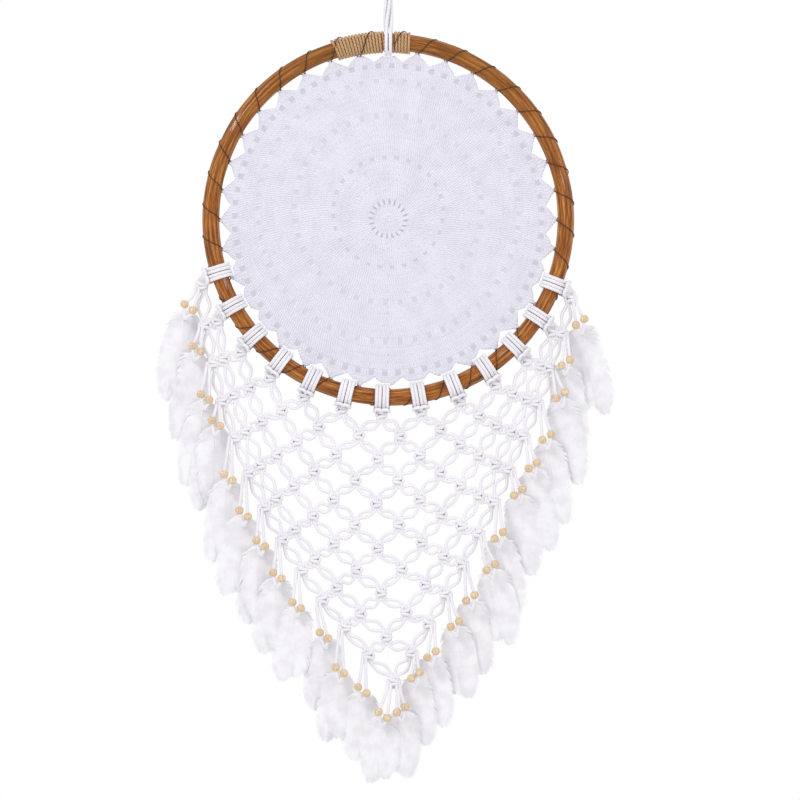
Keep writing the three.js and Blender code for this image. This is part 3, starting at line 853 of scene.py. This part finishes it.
def recess(radius, angle):
    """How deep the ground lies, from 0 between the stitches to 1 in the deepest ring of holes: each
    ring with holes is open over the last share of its repeat, between its two radii. The same depth
    sets how much painted shade the ground gets."""
    deep = np.full(np.broadcast(radius, angle).shape, 0.12)
    for k, (inner, outer, holes, opening, depth) in enumerate(ROUNDS):
        if holes:
            share = (angle / (2 * np.pi) * holes - (0.5 if k % 2 else 0)) % 1
            inside = (radius > inner + 0.1) & (radius < outer - 0.1) & (share > 1 - opening)
            deep = np.where(inside, depth, deep)
    return deep


class DREAMCATCHER_OT_doily(bpy.types.Operator):
    """Crocheted doily: its ground, and rounds of raised stitches with rings of holes"""

    bl_idname = "dream_catcher.doily"
    bl_label = "Doily"

    def execute(self, context):
        sizes = context.scene.dream_catcher_sizes
        yarn, stitch = sizes.yarn / MM / 2, sizes.stitch / MM
        rng = np.random.default_rng(sizes.seed + 1)
        raised = {"inner": [], "middle": [], "outer": [], "rim": []}  # parts of each piece

        def posts(inner, outer, angle, group):
            """Upright stitches: each a short yarn from one round to the next, leaning a little and
            swelling in the middle, where its wrap crosses it."""
            t = np.linspace(0, 1, 5)
            n = len(angle)
            slant = (stitch * 0.28 / np.maximum(inner, 4))[..., None] * (t - 0.5) * 1.4
            wobble = rng.normal(0, 0.05, (n, 1)) * stitch / np.maximum(inner, 4)[..., None]
            a = angle[:, None] + slant + wobble
            r = lerp(inner[:, None] - 0.2, outer[:, None] + 0.2, t)
            y = -0.25 * np.sin(np.pi * t) + rng.normal(0, 0.05, (n, 1))
            fat = yarn * np.array([0.85, 1.12, 1.22, 1.12, 0.85])
            raised[group].append(tube(on_doily(r, a, y), fat, 5))

        def chain(radius, count, group, edge=None):
            """A chain of stitches round the doily: the yarn weaves out and in once per stitch."""
            a = np.linspace(0, 2 * np.pi, count * 5, endpoint=False)
            wave = count * a
            r = radius + 0.42 * np.sin(wave) if edge is None else edge(a) + 0.25 * np.sin(wave)
            path = on_doily(r, a, -0.2 - 0.35 * np.cos(wave))
            raised[group].append(tube(path, yarn * 0.95, 5, closed=True))

        for k, (inner, outer, holes, opening, _) in enumerate(ROUNDS):
            group = list(raised)[np.searchsorted(RAISED_OUT_TO, outer)]
            middle = (inner + outer) / 2
            count = max(12, int(round(2 * np.pi * middle / stitch)))
            if holes:
                per = max(2, int(round(2 * np.pi * middle * (1 - opening) / holes / stitch)))
                repeat = np.arange(holes)[:, None] + (0.5 if k % 2 else 0)
                spread = (np.arange(per) + 0.5) / per * (1 - opening)
                a = ((repeat + spread) / holes * 2 * np.pi).ravel()
            else:
                a = (np.arange(count) + 0.5 * (k % 2)) / count * 2 * np.pi
            edge = doily_edge(a) - 0.8
            keep = edge > inner + 1.5
            a, edge = a[keep], edge[keep]
            posts(np.full(len(a), inner), np.minimum(outer, edge), a, group)
            chain(outer, max(14, int(round(2 * np.pi * outer / stitch))), group)
        chain(2.0, 7, "inner")

        # Scallops: fans of stitches that rise to each tip, with a double edging round the zigzag
        a = (np.arange(SCALLOPS * 8) + 0.5) / (SCALLOPS * 8) * 2 * np.pi
        edge = doily_edge(a) - 0.9
        last_round = ROUNDS[-1][1]
        keep = edge > last_round + 1.6
        posts(np.full(keep.sum(), last_round), edge[keep], a[keep], "rim")
        for inside, stitches in ((0.9, 430), (2.3, 431)):
            chain(0, stitches, "rim", lambda b: doily_edge(b) - inside)

        yarn_cotton = crochet_cotton()
        stitches = [
            piece(f"doily_stitches_{group}", parts, yarn_cotton, "catcher")
            for group, parts in raised.items()
        ]

        # The ground: a thin closed sheet, out from the middle in front and back again behind, sunk
        # on both sides where a ring has holes. It closes the holes, and with its painted shade it
        # stands for the shadow seen through them.
        a = np.linspace(0, 2 * np.pi, SCALLOPS * 20, endpoint=False)
        rim = doily_edge(a) - 1.0
        rings = [np.linspace(i, o, 4 if holes else 2) for i, o, holes, *_ in ROUNDS]
        rings = np.unique(np.concatenate([[0], *rings]))
        rings = rings[rings < 146.5]
        rest = np.linspace(0, 1, 5)[1:, None]
        radius = np.concatenate([rings[:, None] + 0 * a, lerp(rings[-1], rim, rest)])
        deep = recess(radius, a)
        front = on_doily(radius, a, -0.7 + 0.6 * deep)
        back = on_doily(radius, a, 0.35 - 0.3 * deep)[::-1]
        sheet = grid(np.concatenate([front, back])[None], np.arange(2.0 * len(radius)))
        # the depth is each point's tone, which sets the ground's painted shade
        sheet = (*sheet[:3], np.concatenate([deep, deep[::-1]]).ravel())
        painted_shade_ground_yarn, replaced = crochet_cotton(ground=True), ["crochet_doily"]
        ground = piece(
            "doily_ground", [sheet], painted_shade_ground_yarn, "catcher", replaced, recalculate=True
        )
        return {"FINISHED"}


# ---- The net ------------------------------------------------------------------------------
# A square knot of four cords, in millimetres from its middle: the outer left cord makes both bars
# in front, the outer right one both bars behind and a bump on the left, the inner two run through
KNOT_PATHS = [
    [(-3.4, 0, 6.2), (-3.3, -1.2, 3.9), (-1.4, -2.9, 2.05), (1.6, -3.0, 1.6), (3.9, -1.6, 0.9),
     (4.3, 0.3, 0.0), (3.7, -1.7, -0.9), (1.5, -3.0, -1.45), (-1.6, -2.9, -1.85),
     (-3.4, -1.0, -3.6), (-3.4, 0, -6.2)],
    [(-1.3, 0, 6.2), (-1.2, 0.0, 3.0), (-1.1, 0.1, 0.0), (-1.2, 0.0, -3.0), (-1.3, 0, -6.2)],
    [(1.3, 0, 6.2), (1.2, 0.0, 3.0), (1.1, 0.1, 0.0), (1.2, 0.0, -3.0), (1.3, 0, -6.2)],
    [(3.4, 0, 6.2), (4.1, -1.4, 3.9), (3.3, 0.8, 2.3), (0.0, 2.9, 1.7), (-3.1, 1.5, 1.5),
     (-4.5, -1.3, 0.9), (-4.5, -1.5, -0.8), (-3.2, 1.4, -1.4), (0.0, 2.9, -1.8),
     (3.3, 1.2, -2.2), (4.1, -1.0, -3.9), (3.4, 0, -6.2)],
]


def trace(start, slot):
    """Follows one strand down from a first-row knot: through each knot by its path, then on to the
    next row's knot on the side that it leaves by, until it leaves the net at the edge."""
    row, i, points = 0, start, []
    while True:
        # every second row starts from the other side, as the knots are tied in turn
        mirror = -1 if row % 2 else 1
        own = KNOT_PATHS[slot if mirror > 0 else 3 - slot]
        shape = np.array(own) * (mirror, 1, 1)
        here = shape * (1, 0.92, 1) + knot_at(row, i)
        if points:
            # between knots the two strands of a link bow apart, as slack cords do
            link = here[0] - points[-1][-1]
            aside = np.array([link[2], 0, -link[0]]) / np.linalg.norm(link)
            away = 1 if slot in (0, 2) else -1
            bow = (3.3 + 1.2 * math.sin(7.3 * row + 3.1 * i + slot)) * away
            points.append(((points[-1][-1] + here[0]) / 2 + bow * aside)[None])
        points.append(here)
        if slot >= 2:
            if i == HITCHES - 1 - row:
                break
            row, slot = row + 1, slot - 2
        else:
            if i == 0:
                break
            row, i, slot = row + 1, i - 1, slot + 2
        if row >= HITCHES:
            break
    return np.concatenate(points)


def larks_head(angle, centre):
    """Two strands over the front of the hoop and down its back, joined by the bar across the front
    below it. Round the rattan's section the path is the hoop point minus rho x cosine of the turn
    outwards, and minus rho x sine of the turn forwards."""
    a = math.radians(angle)
    down = np.array([math.sin(a), 0, -math.cos(a)])
    across = np.array([math.cos(a), 0, math.sin(a)])
    spot = on_hoop(angle)
    turn_angle = np.radians([148, 120, 90, 60, 30, 0, -40, -90, -135, -170])
    rho = np.array([11.3, 11.0, 10.9, 10.9, 11.0, 11.1, 11.0, 10.9, 11.0, 12.2])
    out = centre + np.array([-1.6] * 6 + [-1.8, -2.1, -2.4, -2.9])
    bar_turn = np.radians([172, 150, 143])
    bar_rho = np.array([13.6, 14.6, 14.9])
    bar_out = centre + np.array([-3.5, -3.2, -1.5])
    turns = np.concatenate([turn_angle, bar_turn])
    rhos = np.concatenate([rho, bar_rho])
    outs = np.concatenate([out, bar_out])
    half = (
        spot
        - (rhos * np.cos(turns))[:, None] * down
        - (rhos * np.sin(turns))[:, None] * np.array([0, 1.0, 0])
    )
    left = half + outs[:, None] * across
    right = (half + (2 * centre - outs)[:, None] * across)[::-1]
    return np.concatenate([left, right])


class DREAMCATCHER_OT_net(bpy.types.Operator):
    """Net of square knots: 26 cords folded over the hoop, each end traced to the net's edge"""

    bl_idname = "dream_catcher.net"
    bl_label = "Net"

    def execute(self, context):
        sizes = context.scene.dream_catcher_sizes
        groups = [[], [], []]
        for k, angle in enumerate(HITCH_ANGLES):
            for pair in (0, 1):
                a, b = trace(k, 2 * pair), trace(k, 2 * pair + 1)
                path = np.concatenate([a[::-1], larks_head(angle, -3.45 + 6.9 * pair), b])
                line = smooth(path, sizes.cord_step / MM)
                groups[k * 3 // HITCHES].append(cord_tube(line, sizes, 1.0, sides=10))
        cotton = cotton_cord()
        for name, parts in zip(("left", "middle", "right"), groups):
            replaced = ["macrame_net"] if name == "middle" else []
            piece(f"net_cords_{name}", parts, cotton, "catcher", replaced)
        return {"FINISHED"}


# ---- Drops --------------------------------------------------------------------------------
# A feather's outline: share of its length, and share of its half width there
FEATHER_OUTLINE = (
    [0, 0.07, 0.16, 0.3, 0.5, 0.7, 0.84, 0.94, 1.0, 1.03],
    [0.4, 0.74, 0.93, 1, 1, 0.93, 0.78, 0.52, 0.2, 0],
)


def feather(rng, long, wide, barbs):
    """One feather that hangs down -Z from its root, its face to -Y: vane and shaft.

    A barb leaves the shaft at its own share of the length, goes out to the outline and sweeps on
    towards the tip: across = reach x sine, down = root + sweep x (1 - cosine). Its reach is the
    outline's half width at the height where the barb ends. Barbs gather into groups at their tips,
    which leaves a few splits, and the lowest ones curl as down does."""
    v = np.linspace(0, 1, 7)
    grids = []
    bend = rng.normal(0, 1.2)
    for side in (-1, 1):
        root = np.linspace(0.02, 0.97, barbs)
        opening = np.radians(np.interp(root, [0, 0.3, 1], [76, 54, 30]))
        reach = np.full(barbs, wide / 4)
        for _ in range(12):
            end = root + reach / np.tan(opening) / long
            half_width = np.interp(end, *FEATHER_OUTLINE) * wide / 2
            reach = 0.5 * (reach + half_width)
        reach = reach * rng.uniform(0.95, 1.12, barbs)
        sweep = reach / np.tan(opening)
        splits = np.sort(np.concatenate([[0, 1], rng.uniform(0.1, 0.9, 6)]))
        own = np.clip(np.searchsorted(splits, root) - 1, 0, len(splits) - 2)
        middle = (splits[own] + splits[own + 1]) / 2
        pull = rng.uniform(0.02, 0.16, len(splits))[own] * (middle - root)
        down = np.clip(1 - root / 0.3, 0, 1)
        across = reach[:, None] * np.sin(v * 1.45) / np.sin(1.45)
        across = across * (1 + (down * rng.normal(0, 0.1, barbs))[:, None] * v)
        below = root[:, None] * long + sweep[:, None] * (1 - np.cos(v * 1.5))
        below = below + long * pull[:, None] * v**2
        below = below + (down * rng.normal(0, 1.4, barbs))[:, None] * v**2
        depth = 2.0 * (across / (wide / 2)) ** 2 + 0.8 * np.sin(3 * root)[:, None] * v
        depth = depth + (down * rng.normal(0, 1.0, barbs))[:, None] * v**2
        half = long / barbs * (1.5 - 1.2 * v**3) * (1 - 0.3 * down[:, None])
        shaft_x = bend * np.sin(np.pi * root * 0.7)[:, None]
        centre = np.stack([shaft_x + side * across, depth, -below], -1)
        edge = np.stack([0.25 * half * side, 0.35 * half, half], -1)
        strip = np.stack([centre - edge, centre + edge], 2)
        if side > 0:
            strip = strip[:, :, ::-1]
        grids.append(grid(strip, lengths_along(centre[:1]), around=False))
    t = np.linspace(-0.05, 0.95, 16)
    x = bend * np.sin(np.pi * np.maximum(t, 0) * 0.7)
    shaft = np.column_stack([x, -0.1 + 0 * t, -t * long])
    return grids, tube(shaft, lerp(0.55, 0.07, np.linspace(0, 1, 16)), 6)


def bead_profile(sizes):
    """Half of a bead's section: the arc of a barrel outside, and a straight bore."""
    r, bore, half_angle = sizes.bead / MM / 2, sizes.bore / MM / 2, 1.02
    q = half_angle * np.linspace(-1, 1, 13)
    outside = np.column_stack([r * np.cos(q), 0.86 * r * np.sin(q) / math.sin(half_angle)])
    return np.vstack([outside, [[bore, 0.8 * r], [bore, 0], [bore, -0.8 * r]]])


def drop_cord(places, side, inner, step):
    """The path of a drop's inner (1) or outer (-1) cord, from the knot through its bead into the
    binding, with the bead's middle and how far it leans."""
    knot, start, beads, tie, _ = places
    bead = beads + (-inner * side * BEADS_APART[0], 0, -inner * BEADS_APART[1])
    gap = -inner * side * CORDS_APART
    top = start + (gap, 0, -4)
    path = smooth(
        [
            (start[0] + gap * 0.8, 0.6, knot[2] + 2.4),
            (start[0] + gap * 0.9, -2.0, knot[2] - 1.8),
            (start[0] + gap, -5.6, knot[2] - 4.4),
            lerp(top, bead, 0.3) + (0, -0.1, 0),
            lerp(top, bead, 0.72) + (0, 0.1, 0),
            bead + (0, 0, 1.5),
            bead + (0, 0, -2.0),
            lerp(bead + (0, 0, -5), tie + (gap * 0.5, 0, 0), 0.55),
            tie + (gap * 0.42, 1.0, -2.2),
        ],
        step,
    )
    nearest = path[np.argmin(np.linalg.norm(path - bead, axis=1))]
    lean = 0.45 * np.degrees(np.arctan2(bead[0] - top[0], top[2] - bead[2]))
    return path, lerp(nearest, bead, 0.5), lean


def drop_feathers(rng, sizes, side, row, tie, depth):
    """The vanes of a drop's two feathers, and their shafts with the quills up to the binding."""
    t = row / (HITCHES - 1)
    long, splay = lerp(*FEATHER_LENGTHS, t), lerp(*FEATHER_SPLAYS, t)
    tilt = turn("Y", side * -splay) @ turn("X", 8)
    vanes, shafts = [], []
    for k, fan in enumerate((-FEATHER_FAN, FEATHER_FAN)):
        own_length = long * (0.97 - 0.07 * (k == (side > 0))) - 2
        wide = sizes.feather_width / MM * rng.uniform(0.94, 1.04)
        grids, shaft = feather(rng, own_length, wide, sizes.barbs)
        matrix = tilt @ turn("Y", fan + rng.normal(0, 1.5))
        matrix = matrix @ turn("Z", rng.normal(0, 7))
        root = np.array([tie[0] + fan * 0.3, depth + 0.5 + 1.4 * k, tie[2] + 5.0])
        vanes += [moved(g, matrix, root) for g in grids]
        quill = smooth(
            [
                tie + (fan * 0.12, 0.4, 1.5),
                tie + (fan * 0.12, 1.8, -1.8),
                tie + (fan * 0.16, 5.0, -2.6),
                root + matrix @ np.array([0, 0, -9.5]),
            ],
            1.0,
        )
        shafts += [moved(shaft, matrix, root), tube(quill, 0.62, 6)]
    return vanes, shafts


class DREAMCATCHER_OT_drops(bpy.types.Operator):
    """Drops at the net's edges: two cord ends, two beads, a binding and two feathers each"""

    bl_idname = "dream_catcher.drops"
    bl_label = "Drops"

    def execute(self, context):
        sizes = context.scene.dream_catcher_sizes
        rng = np.random.default_rng(sizes.seed + 2)
        cotton, wood, profile = cotton_cord(), turned_birch(), bead_profile(sizes)
        barb, horn = goose_feather(), goose_feather(quill=True)
        # The binding: fine yarn wound round the cord ends and the two quills
        t = np.linspace(0, 1, 90)
        wind = 2 * np.pi * 5 * t
        binding = np.column_stack([2.3 * np.cos(wind), 1.6 + 1.9 * np.sin(wind), 0.6 - 4.6 * t])
        for side, row in ((side, row) for side in (-1, 1) for row in range(HITCHES)):
            name = f"{'L' if side < 0 else 'R'}{row + 1:02d}"
            body = f"drop_{name}"
            places = drop_places(side, row)
            tie, feather_depth = places[3:]
            cords, beads = [], []
            for inner, which in ((-1, "outer"), (1, "inner")):
                path, middle, lean = drop_cord(places, side, inner, sizes.cord_step / MM)
                bead = turned(profile, tone=rng.uniform(0, 0.28))
                beads.append(moved(bead, turn("Y", -lean), middle))
                cord = cord_tube(path, sizes, 0.93, sides=10)
                replaced = [f"bead_drop_{name}"] if which == "outer" else []
                strand = f"strand_{name}_{which}"
                cords.append(piece(strand, [cord], cotton, body, replaced))
            beads_piece = piece(f"beads_{name}", beads, wood, body)
            wound = tube(tie + binding, 0.5, 6)
            tie_piece = piece(f"binding_{name}", [wound], cotton, body)
            vanes, shafts = drop_feathers(rng, sizes, side, row, tie, feather_depth)
            replaced = [f"feathers_{name}"]
            piece(f"plumes_{name}", vanes, barb, body, replaced, weld=False)
            piece(f"quills_{name}", shafts, horn, body)
        return {"FINISHED"}


# ---- The add-on ---------------------------------------------------------------------------
class DREAMCATCHER_PT_panel(bpy.types.Panel):
    """Sizes, colours and the pieces in the order in which they are built"""

    bl_label = "Dream Catcher"
    bl_idname = "DREAMCATCHER_PT_panel"
    bl_space_type = "VIEW_3D"
    bl_region_type = "UI"
    bl_category = "Dream Catcher"

    def draw(self, context):
        for operator in OPERATORS:
            self.layout.operator(operator.bl_idname)
        for group in GROUPS:
            box = self.layout.box()
            box.label(text=group[1].__doc__)
            for name in group[1].__annotations__:
                box.prop(getattr(context.scene, group[0]), name)


OPERATORS = [
    DREAMCATCHER_OT_stage,
    DREAMCATCHER_OT_hanging,
    DREAMCATCHER_OT_drops,
    DREAMCATCHER_OT_hoop,
    DREAMCATCHER_OT_doily,
    DREAMCATCHER_OT_net,
]
GROUPS = [
    ("dream_catcher_sizes", DreamCatcherSizes),
    ("dream_catcher_colours", DreamCatcherColours),
    ("dream_catcher_stage", DreamCatcherStage),
]


def register():
    for name, group in GROUPS:
        bpy.utils.register_class(group)
        setattr(bpy.types.Scene, name, PointerProperty(type=group))
    for operator in OPERATORS:
        bpy.utils.register_class(operator)
    bpy.utils.register_class(DREAMCATCHER_PT_panel)


def unregister():
    bpy.utils.unregister_class(DREAMCATCHER_PT_panel)
    for operator in reversed(OPERATORS):
        bpy.utils.unregister_class(operator)
    for name, group in reversed(GROUPS):
        delattr(bpy.types.Scene, name)
        bpy.utils.unregister_class(group)


def main():
    """Registers the add-on and builds every piece in order."""
    register()
    bpy.ops.dream_catcher.stage()
    bpy.ops.dream_catcher.hanging()
    bpy.ops.dream_catcher.drops()
    bpy.ops.dream_catcher.hoop()
    bpy.ops.dream_catcher.doily()
    bpy.ops.dream_catcher.net()


if __name__ == "__main__":
    main()
